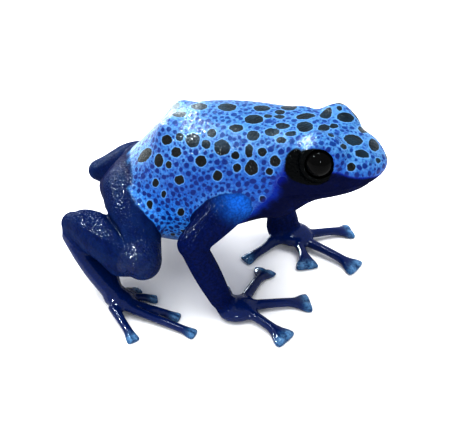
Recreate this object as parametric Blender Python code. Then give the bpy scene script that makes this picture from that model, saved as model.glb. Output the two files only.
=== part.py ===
"""Blue poison dart frog, a still life-size model that stands on its four feet.

The snout points along +X, the frog's left side is +Y and the floor is z = 0.
Sizes in the tables are millimetres; the objects are made in metres.
"""
import math

import bmesh
import bpy
import numpy as np
from mathutils import Matrix, Vector

MM = 0.001
GAP = 0.3
LEFT = 1
RIGHT = -1
# Moves the middle of the footprint to the origin
FRAME_SHIFT = (2.1, 0.0, 0.0)
SIDE_NAMES = {LEFT: "left", RIGHT: "right"}

# Colours and finish of the skin
NAVY = (0.012, 0.020, 0.130)
SKY = (0.130, 0.330, 0.780)
DARK = (0.006, 0.009, 0.035)
BLACK = (0.004, 0.004, 0.005)
SKIN_ROUGHNESS = 0.35
EYE_ROUGHNESS = 0.05

# Body stations from vent to snout:
# x, top, bottom, half width, level of the widest place, squareness of the back
STATIONS = (
    (-20.4, 14.0, 10.4, 2.8, 12.4, 2.0),
    (-17.6, 16.6, 8.8, 4.6, 13.0, 1.9),
    (-13.6, 20.6, 6.8, 6.4, 13.6, 1.8),
    (-8.4, 26.1, 5.8, 7.9, 14.6, 1.9),
    (-3.0, 28.0, 7.0, 8.5, 16.0, 2.3),
    (2.6, 28.3, 11.0, 8.0, 18.2, 2.6),
    (7.4, 28.3, 13.4, 7.1, 20.0, 2.7),
    (10.8, 28.4, 15.2, 6.5, 21.2, 2.7),
    (14.2, 28.1, 18.2, 6.2, 22.0, 2.6),
    (18.2, 27.0, 20.5, 5.1, 23.0, 2.4),
    (22.0, 25.1, 22.7, 3.0, 23.9, 2.0),
)
NECK_X = 7.2
NECK_LENGTH = 4.0
HEAD_TURN = math.radians(-5.0)
# Bumps of the hip bones on the hump: place, reach, height
HIP_BUMP = (-8.8, 2.9, 25.6)
HIP_BUMP_REACH = 2.6
HIP_BUMP_HEIGHT = 0.7
VENT_ROUNDING = 3.4
SNOUT_ROUNDING = 2.6
BODY_SIDES = 32
TORSO_RINGS = 24
HEAD_RINGS = 17

# Head
MOUTH_LINE = ((24.5, 23.5), (20.5, 22.4), (16.5, 21.4), (12.5, 20.5), (9.9, 19.7))
JAW_BACK = ((9.3, 14.0), (25.0, 14.0))
LIP_HEIGHT = 0.22
LIP_BREADTH = 0.55
EYE_CENTRE = (14.1, 5.15, 25.6)
EYE_RADIUS = 2.0
EYE_AXIS = (0.28, 1.0, 0.22)
BULGE_CENTRE = (13.9, 3.6, 25.5)
BULGE_RADII = (3.8, 3.0, 3.15)
LID_RADIUS = 2.15
LID_THICKNESS = 0.55
LID_FORWARD = 0.65
NOSTRIL = (20.4, 2.45, 25.1)
NOSTRIL_RADIUS = 0.34
TYMPANUM = (9.6, 6.2, 21.9)
TYMPANUM_RADIUS = 0.95
TYMPANUM_THICKNESS = 0.55

# Limbs: joint places and radii
ARMS = {
    RIGHT: dict(
        shoulder=(4.2, -5.0, 19.4), elbow=(-1.9, -11.6, 13.2), wrist=(1.9, -10.4, 3.0),
        palm=(4.2, -9.8, 1.2),
        tips=((0.6, -5.4), (6.0, 0.6), (14.0, -4.8), (12.4, -13.2)),
    ),
    LEFT: dict(
        shoulder=(4.2, 5.0, 19.4), elbow=(2.2, 11.8, 13.0), wrist=(7.2, 9.8, 3.0),
        palm=(8.6, 9.5, 1.2),
        tips=((2.3, 1.9), (12.2, 2.8), (19.7, 4.9), (17.4, 14.3)),
    ),
}
UPPER_ARM_RADII = (2.7, 2.0)
UPPER_ARM_SWELL = 0.25
FOREARM_RADII = (1.8, 1.6)
FOREARM_SWELL = 0.25
PALM_RADII = (3.0, 2.5, 1.35)
FINGER_RADIUS = 0.62
FINGER_DISC_WIDTHS = (1.6, 2.8, 3.0, 2.9)

LEGS = {
    RIGHT: dict(
        hip=(-14.4, -3.4, 14.4), knee=(-8.8, -12.6, 9.4), heel=(-22.0, -7.2, 9.3),
        ankle=(-22.4, -8.0, 7.6), instep=(-12.8, -13.2, 1.7),
        tips=((-11.3, -9.2), (-8.1, -10.3), (-3.6, -13.2), (-0.4, -15.7), (-8.2, -19.3)),
    ),
    LEFT: dict(
        hip=(-14.4, 3.4, 14.4), knee=(-8.8, 13.6, 11.2), heel=(-24.4, 7.8, 9.0),
        ankle=(-24.6, 8.6, 7.5), instep=(-13.4, 13.4, 1.7),
        tips=((-10.6, 9.2), (-7.2, 10.6), (-2.8, 13.6), (0.2, 16.0), (-7.4, 19.2)),
    ),
}
THIGH_RADII = (3.8, 2.7)
THIGH_SWELL = 0.4
SHANK_RADII = (2.5, 1.85)
SHANK_SWELL = 1.25
SHANK_BOW = (0.0, 0.0, 0.6)
TARSUS_RADII = (1.25, 1.4)
TARSUS_SWELL = 0.1
TARSUS_BOW = (-0.3, -0.2, -0.2)
FOOT_RADII = (2.6, 1.8, 1.2)
TOE_RADIUS = 0.52
TOE_DISC_WIDTHS = (1.1, 1.5, 1.7, 1.8, 1.7)
ROOT_FLARE = 0.3
FINGER_SPREAD = 0.5
TOE_SPREAD = 0.85

LIMB_SIDES = 12
DIGIT_SIDES = 8
DIGIT_RINGS = 12
ARCH = 0.5
LIMB_RINGS = 9


def clear_scene():
    for obj in list(bpy.data.objects):
        bpy.data.objects.remove(obj, do_unlink=True)


def new_object(name, bm):
    """Close off a bmesh into an object with its faces pointing out."""
    bmesh.ops.recalc_face_normals(bm, faces=bm.faces)
    mesh = bpy.data.meshes.new(name)
    bm.to_mesh(mesh)
    bm.free()
    obj = bpy.data.objects.new(name, mesh)
    bpy.context.scene.collection.objects.link(obj)
    return obj


def skin_rings(name, rings):
    """Loft closed rings of points, given in millimetres, and cap both ends."""
    bm = bmesh.new()
    rows = [[bm.verts.new(Vector(p) * MM) for p in ring] for ring in rings]
    count = len(rows[0])
    for low, high in zip(rows, rows[1:]):
        for i in range(count):
            j = (i + 1) % count
            bm.faces.new((low[i], low[j], high[j], high[i]))
    for row in (rows[0], rows[-1]):
        centre = bm.verts.new(sum((v.co for v in row), Vector()) / count)
        for i in range(count):
            bm.faces.new((row[i], row[(i + 1) % count], centre))
    return new_object(name, bm)


def apply_boolean(obj, tool, operation):
    """Join or cut obj with tool for good, and remove the tool."""
    modifier = obj.modifiers.new("shape", "BOOLEAN")
    modifier.operation = operation
    modifier.solver = "EXACT"
    modifier.object = tool
    graph = bpy.context.evaluated_depsgraph_get()
    mesh = bpy.data.meshes.new_from_object(obj.evaluated_get(graph))
    obj.modifiers.remove(modifier)
    obj.data = mesh
    bpy.data.objects.remove(tool, do_unlink=True)
    return obj


def cut(obj, *tools):
    for tool in tools:
        apply_boolean(obj, tool, "DIFFERENCE")
    return obj


def join(obj, *tools):
    for tool in tools:
        apply_boolean(obj, tool, "UNION")
    return obj


def keep_largest(obj):
    """Keep the largest closed surface of a cut piece."""
    bm = bmesh.new()
    bm.from_mesh(obj.data)
    unseen = set(bm.verts)
    groups = []
    while unseen:
        seed = unseen.pop()
        group = {seed}
        queue = [seed]
        while queue:
            for edge in queue.pop().link_edges:
                for vert in edge.verts:
                    if vert in unseen:
                        unseen.discard(vert)
                        group.add(vert)
                        queue.append(vert)
        groups.append(group)
    groups.sort(key=len)
    loose = [v for group in groups[:-1] for v in group]
    bmesh.ops.delete(bm, geom=loose, context="VERTS")
    bm.to_mesh(obj.data)
    bm.free()
    return obj


def paint(obj, colour, roughness=SKIN_ROUGHNESS):
    """Give the object a material of its own."""
    material = bpy.data.materials.new(obj.name)
    material.use_nodes = True
    shader = material.node_tree.nodes["Principled BSDF"]
    shader.inputs["Base Color"].default_value = (*colour, 1.0)
    shader.inputs["Roughness"].default_value = roughness
    shader.inputs["Metallic"].default_value = 0.0
    obj.data.materials.clear()
    obj.data.materials.append(material)
    return obj


def body_section(x):
    """Top, bottom, half width, widest level and squareness of the body at x."""
    stations = np.array(STATIONS)
    xs = stations[:, 0]
    values = []
    for column in range(1, stations.shape[1]):
        values.append(monotone(xs, stations[:, column], x))
    top, bottom, half_width, waist, power = values
    closing = 1.0
    if x < xs[0] + VENT_ROUNDING:
        s = (x - xs[0]) / VENT_ROUNDING
        closing = math.sqrt(max(0.0, 1.0 - (1.0 - s) ** 2))
    if x > xs[-1] - SNOUT_ROUNDING:
        s = (xs[-1] - x) / SNOUT_ROUNDING
        closing = math.sqrt(max(0.0, 1.0 - (1.0 - s) ** 2))
    return (
        waist + (top - waist) * closing,
        waist - (waist - bottom) * closing,
        half_width * closing,
        waist,
        power,
    )


def monotone(xs, ys, x):
    """Smooth curve through the stations that never overshoots them."""
    h = np.diff(xs)
    slope = np.diff(ys) / h
    tangent = np.zeros_like(ys)
    tangent[0] = slope[0]
    tangent[-1] = slope[-1]
    for i in range(1, len(ys) - 1):
        if slope[i - 1] * slope[i] > 0.0:
            tangent[i] = 2.0 * slope[i - 1] * slope[i] / (slope[i - 1] + slope[i])
    i = int(np.clip(np.searchsorted(xs, x) - 1, 0, len(h) - 1))
    t = min(max((x - xs[i]) / h[i], 0.0), 1.0)
    return (
        (2 * t ** 3 - 3 * t ** 2 + 1) * ys[i]
        + (t ** 3 - 2 * t ** 2 + t) * h[i] * tangent[i]
        + (3 * t ** 2 - 2 * t ** 3) * ys[i + 1]
        + (t ** 3 - t ** 2) * h[i] * tangent[i + 1]
    )


def mouth_level(x):
    line = sorted(MOUTH_LINE)
    return float(np.interp(x, [p[0] for p in line], [p[1] for p in line]))


def body_ring(x, grow=0.0):
    """One cross-section of the body, with the lips standing a little proud."""
    top, bottom, half_width, waist, power = body_section(x)
    ring = []
    for i in range(BODY_SIDES):
        angle = 2.0 * math.pi * (i + 0.5) / BODY_SIDES
        c = math.cos(angle)
        s = math.sin(angle)
        p = power if s > 0.0 else 2.0
        y = (half_width + grow) * math.copysign(abs(c) ** (2.0 / p), c)
        reach = (top - waist + grow) if s > 0.0 else (waist - bottom + grow)
        z = waist + reach * math.copysign(abs(s) ** (2.0 / p), s)
        if x > MOUTH_LINE[-1][0]:
            lip = LIP_HEIGHT * math.exp(-((z - mouth_level(x)) / LIP_BREADTH) ** 2)
            y += math.copysign(lip, c) * min(1.0, abs(y))
        hip = math.dist((x, abs(y), z), HIP_BUMP) / HIP_BUMP_REACH
        z += HIP_BUMP_HEIGHT * math.exp(-hip * hip)
        ring.append((x, y, z))
    return ring


def spread(start, end, count, ease_start, ease_end):
    """Positions from start to end, closer together at the eased ends."""
    out = []
    for i in range(count):
        t = i / (count - 1)
        if ease_start and ease_end:
            t = 0.5 - 0.5 * math.cos(math.pi * t)
        elif ease_start:
            t = 1.0 - math.cos(0.5 * math.pi * t)
        elif ease_end:
            t = math.sin(0.5 * math.pi * t)
        out.append(start + (end - start) * t)
    return out


def make_torso(grow=0.0, name="torso"):
    first = STATIONS[0][0] + 0.02
    xs = spread(first, NECK_X - GAP / 2, TORSO_RINGS, True, False)
    rings = [body_ring(x, grow) for x in xs]
    if grow:
        rings[0] = [(x - grow, y, z) for x, y, z in rings[0]]
        rings[-1] = [(x + grow, y, z) for x, y, z in rings[-1]]
    return skin_rings(name, rings)


def head_form():
    last = STATIONS[-1][0] - 0.02
    xs = spread(NECK_X + GAP / 2, last, HEAD_RINGS, False, True)
    return skin_rings("head", [body_ring(x) for x in xs])


def ellipsoid(name, centre, radii, axis=(0, 0, 1), segments=16, rings=10):
    """A ball with three radii, its third axis turned to the given axis."""
    bm = bmesh.new()
    bmesh.ops.create_uvsphere(bm, u_segments=segments, v_segments=rings, radius=1.0)
    turn = Vector(axis).to_track_quat("Z", "Y").to_matrix().to_4x4()
    size = Matrix.Diagonal((*[r * MM for r in radii], 1.0))
    place = Matrix.Translation(Vector(centre) * MM)
    bmesh.ops.transform(bm, matrix=place @ turn @ size, verts=bm.verts)
    return new_object(name, bm)


def torus(name, centre, axis, radius, thickness, segments=18, sides=6):
    """A ring of round section about the given axis."""
    turn = Vector(axis).to_track_quat("Z", "Y").to_matrix()
    bm = bmesh.new()
    rows = []
    for i in range(segments):
        a = 2.0 * math.pi * i / segments
        row = []
        for j in range(sides):
            b = 2.0 * math.pi * j / sides
            r = radius + thickness * math.cos(b)
            p = Vector((r * math.cos(a), r * math.sin(a), thickness * math.sin(b)))
            row.append(bm.verts.new((Vector(centre) + turn @ p) * MM))
        rows.append(row)
    for i in range(segments):
        for j in range(sides):
            k = (i + 1) % segments
            m = (j + 1) % sides
            bm.faces.new((rows[i][j], rows[k][j], rows[k][m], rows[i][m]))
    return new_object(name, bm)


def jaw_block(grow):
    """The wedge under the mouth line that parts the lower jaw from the head."""
    outline = [(x, z - GAP / 2 + grow) for x, z in MOUTH_LINE]
    back = [(x - grow, z) for x, z in JAW_BACK[:1]]
    front = list(JAW_BACK[1:])
    outline[-1] = (outline[-1][0] - grow, outline[-1][1])
    outline += back + front
    bm = bmesh.new()
    sides = []
    for y in (-12.0, 12.0):
        sides.append([bm.verts.new((x * MM, y * MM, z * MM)) for x, z in outline])
    count = len(outline)
    for i in range(count):
        j = (i + 1) % count
        bm.faces.new((sides[0][i], sides[0][j], sides[1][j], sides[1][i]))
    bm.faces.new(sides[0])
    bm.faces.new(sides[1])
    bmesh.ops.triangulate(bm, faces=bm.faces)
    return new_object("jaw block", bm)


def turn_head(obj):
    """Turn what lies past the neck a little to the frog's right, easing in over the neck."""
    for vert in obj.data.vertices:
        x = vert.co.x / MM - NECK_X
        angle = HEAD_TURN * smooth_step(x / NECK_LENGTH)
        y = vert.co.y / MM
        vert.co.x = (NECK_X + x * math.cos(angle) - y * math.sin(angle)) * MM
        vert.co.y = (x * math.sin(angle) + y * math.cos(angle)) * MM
    return obj


def sided(point, side):
    return (point[0], point[1] * side, point[2])


def make_head():
    head = head_form()
    jaw = head.copy()
    jaw.data = head.data.copy()
    jaw.name = "lower_jaw"
    bpy.context.scene.collection.objects.link(jaw)
    for side in (LEFT, RIGHT):
        axis = Vector(sided(EYE_AXIS, side)).normalized()
        centre = Vector(sided(EYE_CENTRE, side))
        join(head, ellipsoid("bulge", sided(BULGE_CENTRE, side), BULGE_RADII))
        join(head, torus("lids", centre + axis * LID_FORWARD, axis, LID_RADIUS, LID_THICKNESS))
    for side in (LEFT, RIGHT):
        grown = EYE_RADIUS + GAP
        cut(head, ellipsoid("socket", sided(EYE_CENTRE, side), (grown,) * 3, segments=18, rings=12))
        nostril = (NOSTRIL_RADIUS * 1.3, NOSTRIL_RADIUS, NOSTRIL_RADIUS * 2.2)
        cut(head, ellipsoid("nostril", sided(NOSTRIL, side), nostril, (0.4, side, 0.5), 10, 8))
        recess = (TYMPANUM_RADIUS + GAP, TYMPANUM_RADIUS + GAP, TYMPANUM_THICKNESS + GAP)
        cut(head, ellipsoid("recess", sided(TYMPANUM, side), recess, (0, side, 0)))
    cut(head, jaw_block(GAP))
    apply_boolean(jaw, jaw_block(0.0), "INTERSECT")
    return keep_largest(head), keep_largest(jaw)


def make_eye(side):
    return ellipsoid(
        f"eye_{SIDE_NAMES[side]}", sided(EYE_CENTRE, side), (EYE_RADIUS,) * 3,
        sided(EYE_AXIS, side), segments=18, rings=10,
    )


def make_tympanum(side):
    radii = (TYMPANUM_RADIUS, TYMPANUM_RADIUS, TYMPANUM_THICKNESS)
    return ellipsoid(f"tympanum_{SIDE_NAMES[side]}", sided(TYMPANUM, side), radii, (0, side, 0), 14, 8)


def across(direction):
    """Two unit vectors square to a direction, the second as upright as it can be."""
    direction = direction.normalized()
    side = direction.cross(Vector((0, 0, 1)))
    if side.length < 0.05:
        side = Vector((0, 1, 0))
    side.normalize()
    return side, side.cross(direction)


def limb(name, start, end, radii, swell, bow=(0, 0, 0), grow=0.0, sides=LIMB_SIDES):
    """A limb segment with rounded ends, a muscle's swell and a slight bow."""
    start = Vector(start)
    end = Vector(end)
    bow = Vector(bow)
    length = (end - start).length
    side, up = across(end - start)
    rings = []
    total = length + radii[0] + radii[1] + 2.0 * grow
    count = LIMB_RINGS + 6
    for place in spread(-radii[0] - grow, length + radii[1] + grow, count, True, True):
        t = min(max(place / length, 0.0), 1.0)
        r = radii[0] + (radii[1] - radii[0]) * t + swell * math.sin(math.pi * t) + grow
        cap = 0.0
        if place < 0.0:
            cap = -place / (radii[0] + grow)
        if place > length:
            cap = (place - length) / (radii[1] + grow)
        r *= math.sqrt(max(0.0004, 1.0 - min(cap, 1.0) ** 2))
        centre = start + (end - start) * (place / length) + bow * math.sin(math.pi * t)
        ring = []
        for i in range(sides):
            a = 2.0 * math.pi * (i + 0.5) / sides
            ring.append(centre + side * (r * math.cos(a)) + up * (r * math.sin(a)))
        rings.append(ring)
    return skin_rings(name, rings)


def flatten(obj, floor=0.0):
    """Press what lies below the floor up to it."""
    for vert in obj.data.vertices:
        vert.co.z = max(vert.co.z, floor * MM)
    return obj


def pad(name, centre, radii, heading, grow=0.0):
    """A palm or foot: a low rounded pad that is flat underneath."""
    heading = Vector(heading)
    turn = Matrix.Rotation(math.atan2(heading.y, heading.x), 4, "Z")
    obj = ellipsoid(name, (0, 0, 0), [r + grow for r in radii], segments=16, rings=10)
    obj.data.transform(Matrix.Translation(Vector(centre) * MM) @ turn)
    return flatten(obj, -grow)


def digit_root(centre, heading, spread_step, order):
    """Where a digit starts: beside the middle of the pad, in its place in the row."""
    across_pad = Vector((-heading.y, heading.x, 0.0)).normalized()
    return Vector(centre) + across_pad * (spread_step * order)


def smooth_step(t):
    t = min(max(t, 0.0), 1.0)
    return t * t * (3.0 - 2.0 * t)


def digit(name, root, tip, radius, disc_width, grow=0.0):
    """A finger or toe: a low arch from the pad to a flared disc flat on the floor."""
    root = Vector(root)
    tip = Vector((tip[0], tip[1], 0.0))
    run = Vector((tip.x - root.x, tip.y - root.y, 0.0))
    length = run.length
    along = run.normalized()
    side = Vector((-along.y, along.x, 0.0))
    rounding = 0.22 * disc_width
    flare = 1.15 * disc_width
    backs = spread(0.012, flare, DIGIT_RINGS // 2 + 1, True, False)
    backs += spread(flare, length, DIGIT_RINGS - DIGIT_RINGS // 2, False, False)[1:]
    rings = []
    for back in backs:
        closing = math.sqrt(max(0.02, 1.0 - max(0.0, 1.0 - back / rounding) ** 2))
        fan = smooth_step(1.0 - back / flare)
        root_part = smooth_step((back / length - 0.45) / 0.55)
        half_width = radius * (1.0 + ROOT_FLARE * root_part)
        half_width += (0.5 * disc_width - radius) * fan
        half_height = radius * (1.0 + 0.3 * root_part - 0.15 * fan)
        lift = radius * (0.95 - 0.5 * fan) + ARCH * math.sin(math.pi * back / length) ** 2
        lift += (root.z - radius) * root_part
        centre = tip - along * back + Vector((0, 0, lift))
        ring = []
        for i in range(DIGIT_SIDES):
            a = 2.0 * math.pi * (i + 0.5) / DIGIT_SIDES
            y = (half_width * closing + grow) * math.cos(a)
            z = (half_height * closing + grow) * math.sin(a)
            ring.append(centre + side * y + Vector((0, 0, z)))
        rings.append(ring)
    return flatten(skin_rings(name, rings), -grow)


def make_arm(side):
    pose = ARMS[side]
    name = SIDE_NAMES[side]
    heading = Vector(pose["tips"][2]) - Vector(pose["palm"][:2])

    def upper(grow=0.0):
        return limb(f"upper_arm_{name}", pose["shoulder"], pose["elbow"], UPPER_ARM_RADII,
                    UPPER_ARM_SWELL, grow=grow)

    def lower(grow=0.0):
        return limb(f"forearm_{name}", pose["elbow"], pose["wrist"], FOREARM_RADII,
                    FOREARM_SWELL, grow=grow)

    def palm(grow=0.0):
        return pad(f"hand_{name}", pose["palm"], PALM_RADII, heading, grow)

    pieces = []
    upper_arm = cut(upper(), make_torso(GAP, "grown torso"))
    forearm = cut(lower(), upper(GAP), palm(GAP))
    hand = palm()
    pieces += [(upper_arm, NAVY), (forearm, NAVY), (hand, NAVY)]
    for number, tip in enumerate(pose["tips"], start=1):
        root = digit_root(pose["palm"], heading, -side * FINGER_SPREAD, number - 2.5)
        finger = digit(f"finger_{name}_{number}", root, tip, FINGER_RADIUS,
                       FINGER_DISC_WIDTHS[number - 1])
        cut(finger, palm(GAP), lower(GAP))
        pieces.append((finger, NAVY))
    return pieces


def make_leg(side):
    pose = LEGS[side]
    name = SIDE_NAMES[side]
    heading = Vector(pose["tips"][3]) - Vector(pose["instep"][:2])

    def thigh(grow=0.0):
        return limb(f"thigh_{name}", pose["hip"], pose["knee"], THIGH_RADII, THIGH_SWELL, grow=grow)

    def shank(grow=0.0):
        return limb(f"shank_{name}", pose["knee"], pose["heel"], SHANK_RADII, SHANK_SWELL,
                    SHANK_BOW, grow)

    def tarsus():
        bow = sided(TARSUS_BOW, -side)
        return limb(f"tarsus_{name}", pose["ankle"], pose["instep"], TARSUS_RADII, TARSUS_SWELL,
                    bow, sides=12)

    def foot(grow=0.0):
        return pad(f"foot_{name}", pose["instep"], FOOT_RADII, heading, grow)

    upper = cut(thigh(), make_torso(GAP, "grown torso"))
    lower = cut(shank(), thigh(GAP), make_torso(GAP, "grown torso"))
    ankle = cut(tarsus(), shank(GAP), foot(GAP))
    pieces = [(upper, NAVY), (lower, NAVY), (ankle, NAVY), (foot(), NAVY)]
    for number, tip in enumerate(pose["tips"], start=1):
        root = digit_root(pose["instep"], heading, side * TOE_SPREAD, number - 3)
        toe = digit(f"toe_{name}_{number}", root, tip, TOE_RADIUS, TOE_DISC_WIDTHS[number - 1])
        cut(toe, foot(GAP))
        pieces.append((toe, NAVY))
    return pieces


def main():
    clear_scene()
    pieces = [(make_torso(), SKY)]
    head, jaw = make_head()
    pieces += [(turn_head(head), SKY), (turn_head(jaw), DARK)]
    for side in (LEFT, RIGHT):
        pieces.append((turn_head(make_eye(side)), BLACK))
        pieces.append((turn_head(make_tympanum(side)), NAVY))
        pieces += make_arm(side)
        pieces += make_leg(side)
    for obj, colour in pieces:
        keep_largest(obj)
        obj.data.transform(Matrix.Translation(Vector(FRAME_SHIFT) * MM))
        paint(obj, colour, EYE_ROUGHNESS if colour is BLACK else SKIN_ROUGHNESS)


main()
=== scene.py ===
"""The looks of a blue poison dart frog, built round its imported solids.

The skin is one surface grown over the solids. Names ending in _MM hold millimetres, and
those ending in _PX hold pixels of the photograph. A place or push that belongs to both
sides is given for the frog's left. The straight head is the head before its turn.
"""
import math
from collections import namedtuple

import bmesh
import bpy
import numpy as np
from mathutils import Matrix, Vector
from mathutils.bvhtree import BVHTree


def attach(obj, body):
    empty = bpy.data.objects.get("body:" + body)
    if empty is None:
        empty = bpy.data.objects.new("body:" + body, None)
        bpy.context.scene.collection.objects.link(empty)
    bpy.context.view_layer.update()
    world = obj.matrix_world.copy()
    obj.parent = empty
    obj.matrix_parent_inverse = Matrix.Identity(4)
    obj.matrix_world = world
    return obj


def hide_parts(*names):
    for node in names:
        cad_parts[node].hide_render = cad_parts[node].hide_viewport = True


MM = 0.001
PHOTO_WIDTH = 452
PHOTO_HEIGHT = 442
SENSOR_MM = 36.0
RIGHT = -1
LEFT = 1
SIDES = (RIGHT, LEFT)

# Camera: where it looks and from where
TARGET_MM = (2.1, -1.2, 10.0)
CAMERA_AZIMUTH = 16.0
CAMERA_ELEVATION = 37.0
CAMERA_DISTANCE_MM = 110.0
CAMERA_LENS_MM = 59.0
CAMERA_NEAR_MM = 1.0
EXPOSURE = 0.7
GAMMA = 0.76

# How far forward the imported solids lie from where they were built
FRAME_SHIFT_MM = 2.1

# Turn of the head in degrees, about an upright line at the neck
HEAD_TURN = -5.0
NECK_X_MM = 7.2

# Kinds of solid
HEAD_KINDS = ("head", "lower_jaw", "tympanum")
TRUNK_KINDS = ("torso",) + HEAD_KINDS
HAND_KINDS = ("finger", "toe", "foot", "tarsus", "hand")
DIGIT_KINDS = ("finger", "toe")

# Growing the solids until they meet
WELD = 1e-6
VOXEL_MM = 0.16
GROW_MM = 0.22
SHELL_LIMIT = 1.8
GAP_LIMIT_MM = 0.6
GAP_SMOOTH_MM = 1.0

# Smoothing: its reach, and how much of it each kind of solid takes
SMOOTH_MM = 0.88
SMOOTH_STEP = 0.5
SMOOTH_WEIGHT = {
    "torso": 1.0, "head": 0.8, "lower_jaw": 0.8, "tympanum": 0.3,
    "upper_arm": 0.7, "forearm": 0.6, "thigh": 0.8, "shank": 0.7,
    "tarsus": 0.45, "hand": 0.45, "foot": 0.45, "finger": 0.2, "toe": 0.16,
}
WEIGHT_BLUR_MM = 0.32

# Joins that are smoothed further: the kinds on either side, and how much
JOINT_SPREAD_MM = 0.88
JOINT_SMOOTH_MM = 1.24
JOINTS = (
    (("torso", "head"), ("upper_arm", "thigh"), 1.0),
    (("upper_arm",), ("forearm",), 0.25),
    (("forearm",), ("hand",), 0.5),
    (("thigh",), ("shank",), 0.05),
    (("shank",), ("tarsus",), 0.3),
    (("tarsus",), ("foot",), 0.5),
    (("hand", "foot"), ("finger", "toe"), 0.25),
)

# Eyes: balls with a slight cornea. Round them the lids are hardly smoothed
EYE_CENTRE_MM = (14.1, 5.15, 25.6)
EYE_AXIS = (0.28, 1.0, 0.22)
EYE_RADIUS_MM = 2.0
EYE_SEGMENTS = 64
EYE_RINGS = 40
CORNEA_RISE = 0.03
LID_START_MM = 2.0
LID_FADE_MM = 3.0
LID_WEIGHT = 0.05

# Soft forms of the body: where each is, how far it reaches and which way it pushes
Form = namedtuple("Form", "centre reach push")
HIP_BONE = Form((-5.7, 3.5, 25.7), 1.8, (-0.3, 0.2, 0.75))
SADDLE = Form((-8.2, 0.0, 25.4), 1.5, (0.1, 0.0, -0.4))
SHANK_TOP = Form((-17.6, 8.5, 12.3), 2.4, (-0.15, 0.1, 0.75))
WRIST = Form((8.2, 8.0, 2.6), 2.3, (-1.5, -0.4, 0.0))

# Soft forms of the straight head
BROW = Form((13.6, 4.6, 28.2), 1.7, (0.0, 0.1, 0.4))
NAPE = Form((9.6, 3.6, 26.8), 1.8, (0.0, 0.15, 0.45))
THROAT = Form((9.2, 4.7, 16.6), 2.3, (0.1, 0.2, -0.8))

# Lower legs. The calf is counted from the knee, and the tarsus is widened inward
KNEES_MM = {RIGHT: (-6.7, -12.6, 9.4), LEFT: (-6.7, 13.6, 11.2)}
CALF = Form((-3.8, 0.6, -2.4), 2.2, (-0.25, 0.45, -0.75))
CREASE_MM = 0.5
CREASE_DEPTH_MM = 0.75
CREASE_KNEE_MM = (3.2, 6.0)
TARSI_MM = {RIGHT: (-14.3, -10.6, 3.6), LEFT: (-15.6, 10.9, 3.6)}
TARSUS_REACH_MM = 2.6
TARSUS_WIDER_MM = 1.7
TARSUS_INWARD = (0.54, -0.84, 0.0)
TARSUS_FACING = (-0.2, 0.6)

# Filling out of the left wrist and palm and of all digits, and the heights between
ARM_FILL_MM = 0.5
ARM_FILL_TOP_MM = (4.0, 11.0)
ARM_FILL_FOOT_MM = (0.6, 1.6)
DIGIT_FILL_MM = 0.1
FILL_BLUR_MM = 0.7
FILL_UPWARD = 0.5
FILL_UPWARD_MM = (0.5, 1.5)

# Mouth: (x, z) along its line on the straight head, its groove and the lips beside it
MOUTH_MM = ((9.9, 19.7), (12.5, 20.5), (16.5, 21.4), (20.5, 22.4), (24.5, 23.5))
MOUTH_START_MM = (9.9, 11.4)
GROOVE_DEPTH_MM = 0.2
GROOVE_WIDTH_MM = 0.17
LIP_OFFSET_MM = 0.5
LIP_WIDTH_MM = 0.3
UPPER_LIP_MM = 0.1
LOWER_LIP_MM = 0.08

# Chin: where it drops below the mouth, and how far
CHIN_X_MM = (12.0, 19.0)
CHIN_BELOW_MM = (0.0, 1.2)
CHIN_BLUR_MM = 0.4
CHIN_DROP_MM = 0.6

# Nostrils: small pits, each with a raised rim above it
NOSTRIL_MM = (20.4, 2.45, 25.1)
NOSTRIL_OUTWARD = (0.35, 0.75, 0.25)
NOSTRIL_DEPTH_MM = 0.4
NOSTRIL_REACH_MM = 0.3
RIM_MM = (0.1, 0.0, 0.35)
RIM_REACH_MM = 0.45
RIM_SHARE = 0.3

# Discs of the digits: shares of the digit's length, then lengths back from its tip
DISC_SHARE = 0.8
SHAFT_SHARES = (0.3, 0.65)
DISC_REACH_MM = 2.6
DISC_LENGTH_MM = 2.2
DISC_COLOUR_MM = (0.5, 1.9)
FAN_MM = (0.5, 3.0)
FRONT_MM = (0.3, 1.0)

# How much wider each kind of disc is, and how far its corners come forward
DISC_FLARE = {"finger": (0.34, 0.25), "toe": (0.08, 0.1)}

# Scutes: two small raised pads on a disc with a groove between, in half widths
SCUTE_RISE_MM = 0.1
SCUTE_PLACE = 0.5
SCUTE_WIDTH = 0.32
SCUTE_GROOVE = 0.9
SCUTE_GROOVE_WIDTH = 0.14
SCUTE_END_MM = (0.6, 1.2)
SCUTE_FACING = (0.2, 0.7)

# Where navy meets blue: on the thigh, and on the rump, further forward low down
HIP_FADE_MM = (14.6, 17.0)
TRUNK_BLUR_MM = 1.2
TRUNK_NEAR = (0.08, 0.14)
RUMP_X_MM = (9.2, 11.7)
RUMP_Z_MM = (17.5, 21.5)
RUMP_LOW_Z_MM = 17.0
RUMP_LOW_MM = 2.0
RUMP_FORWARD = 1.2
LIMB_BLUR_MM = 0.3

# Dark cheek, jaw and throat: (x, z) outline on the straight head, softer behind the eye
CHEEK_MM = ((1.5, 10.0), (4.2, 15.0), (6.8, 18.0), (8.6, 20.2), (9.3, 22.4), (10.2, 24.4),
            (16.6, 24.9), (17.6, 24.3), (18.8, 24.0), (20.2, 23.8), (21.4, 23.3), (24.5, 23.2),
            (30.0, 23.0), (30.0, 10.0))
CHEEK_EDGE_MM = 0.35
CHEEK_SOFTER_MM = 1.7
CHEEK_SOFT_X_MM = (9.5, 15.0)
CHEEK_FADE = 0.9
CHEEK_BLUR_MM = 0.15

# Black patch round the eye: x, z, half length and half height on the straight head
PATCH_MM = ((13.7, 25.5, 2.45, 2.4), (11.6, 25.3, 1.75, 1.65), (12.9, 24.4, 3.0, 1.9))
PATCH_SIDE_MM = 3.5
PATCH_BLUR_MM = 0.2

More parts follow.
